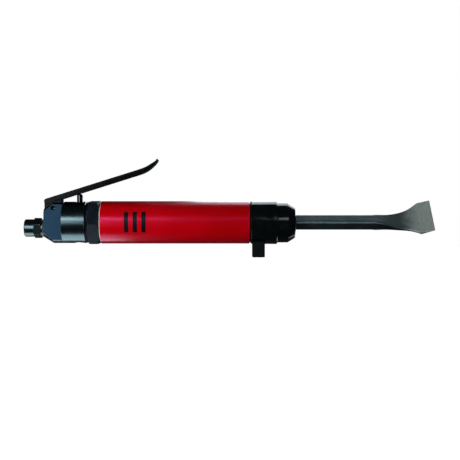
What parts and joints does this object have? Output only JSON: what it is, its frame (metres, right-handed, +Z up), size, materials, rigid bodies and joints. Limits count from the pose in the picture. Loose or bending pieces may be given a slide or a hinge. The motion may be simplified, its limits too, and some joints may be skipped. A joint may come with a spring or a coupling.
{
  "type": "pneumatic hammer",
  "caption": "Inline air-powered hammer with a lever throttle, a smooth round barrel grip and a wide flat chisel held by a pull-down latch.",
  "frame": {"origin": "centre of the air inlet's mouth", "axes": "+X along the tool from the air inlet to the chisel's edge, +Z up, the side the throttle lever is on, +Y by the right-hand rule"},
  "size_m": [0.3813, 0.0444, 0.0921],
  "materials": {
    "blued_steel": "turned and blued, glossy",
    "nut_steel": "blued, satin",
    "black_steel": "black oxide, satin",
    "black_oxide": "black oxide, oiled",
    "red_anodised": "red anodised, satin",
    "lever_paint": "black enamel, semi-gloss",
    "forged_steel": "forged, black oxide, blade ground",
    "polished_steel": "ground and polished",
    "machined_steel": "machined",
    "pin_steel": "black oxide",
    "spring_steel": "drawn wire",
    "bearing_brass": "turned",
    "seal_rubber": "nitrile, matt"
  },
  "bodies": {
    "housing": {"inlet_bushing": "blued_steel", "inlet_seal_washer": "seal_rubber", "inlet_screen": "machined_steel", "backhead": "blued_steel", "lever_pin": "pin_steel", "plunger_bushing": "bearing_brass", "plunger_seal": "seal_rubber", "valve_seat": "bearing_brass", "throttle_plug": "machined_steel", "throttle_spring": "spring_steel", "lock_washer": "black_steel", "lock_nut": "nut_steel", "grip_sleeve": "red_anodised", "cylinder": "machined_steel", "sleeve_rings": "seal_rubber", "valve_gasket": "seal_rubber", "valve_case_rear": "machined_steel", "valve_case_front": "machined_steel", "valve_dowels": "machined_steel", "tool_bushing": "machined_steel", "front_collar": "black_oxide", "nose_cap": "black_oxide", "latch_spring": "spring_steel"},
    "lever": {"throttle_lever": "lever_paint"},
    "throttle": {"throttle_plunger": "polished_steel", "throttle_valve": "machined_steel", "valve_face_washer": "seal_rubber"},
    "valve_disc": {"valve_disc": "machined_steel"},
    "piston": {"piston": "machined_steel"},
    "chisel": {"chisel": "forged_steel"},
    "latch": {"latch_plunger": "machined_steel", "latch_block": "black_oxide", "latch_pins": "pin_steel"}
  },
  "joints": [
    {"name": "lever_hinge", "type": "hinge", "parent": "housing", "child": "lever", "pos_m": [0.0277, 0, 0.0187], "axis": [0, 1, 0], "range_deg": [0, 10], "stiffness_Nm_per_rad": 0.6, "springref_deg": -20.05},
    {"name": "throttle_slide", "type": "slide", "parent": "housing", "child": "throttle", "axis": [0, 0, -1], "range_m": [0, 0.00462], "deforming": ["throttle_spring"]},
    {"name": "valve_slide", "type": "slide", "parent": "housing", "child": "valve_disc", "axis": [1, 0, 0], "range_m": [0, 0.0008]},
    {"name": "piston_slide", "type": "slide", "parent": "housing", "child": "piston", "axis": [1, 0, 0], "range_m": [0, 0.032]},
    {"name": "chisel_slide", "type": "slide", "parent": "housing", "child": "chisel", "axis": [1, 0, 0], "range_m": [0, 0.007]},
    {"name": "latch_slide", "type": "slide", "parent": "housing", "child": "latch", "axis": [0, 0, -1], "range_m": [0, 0.0034], "stiffness_N_per_m": 1500, "springref_m": -0.003, "deforming": ["latch_spring"]}
  ],
  "couplings": [
    {"joint": "throttle_slide", "follows": "lever_hinge", "m_per_rad": 0.026282}
  ]
}
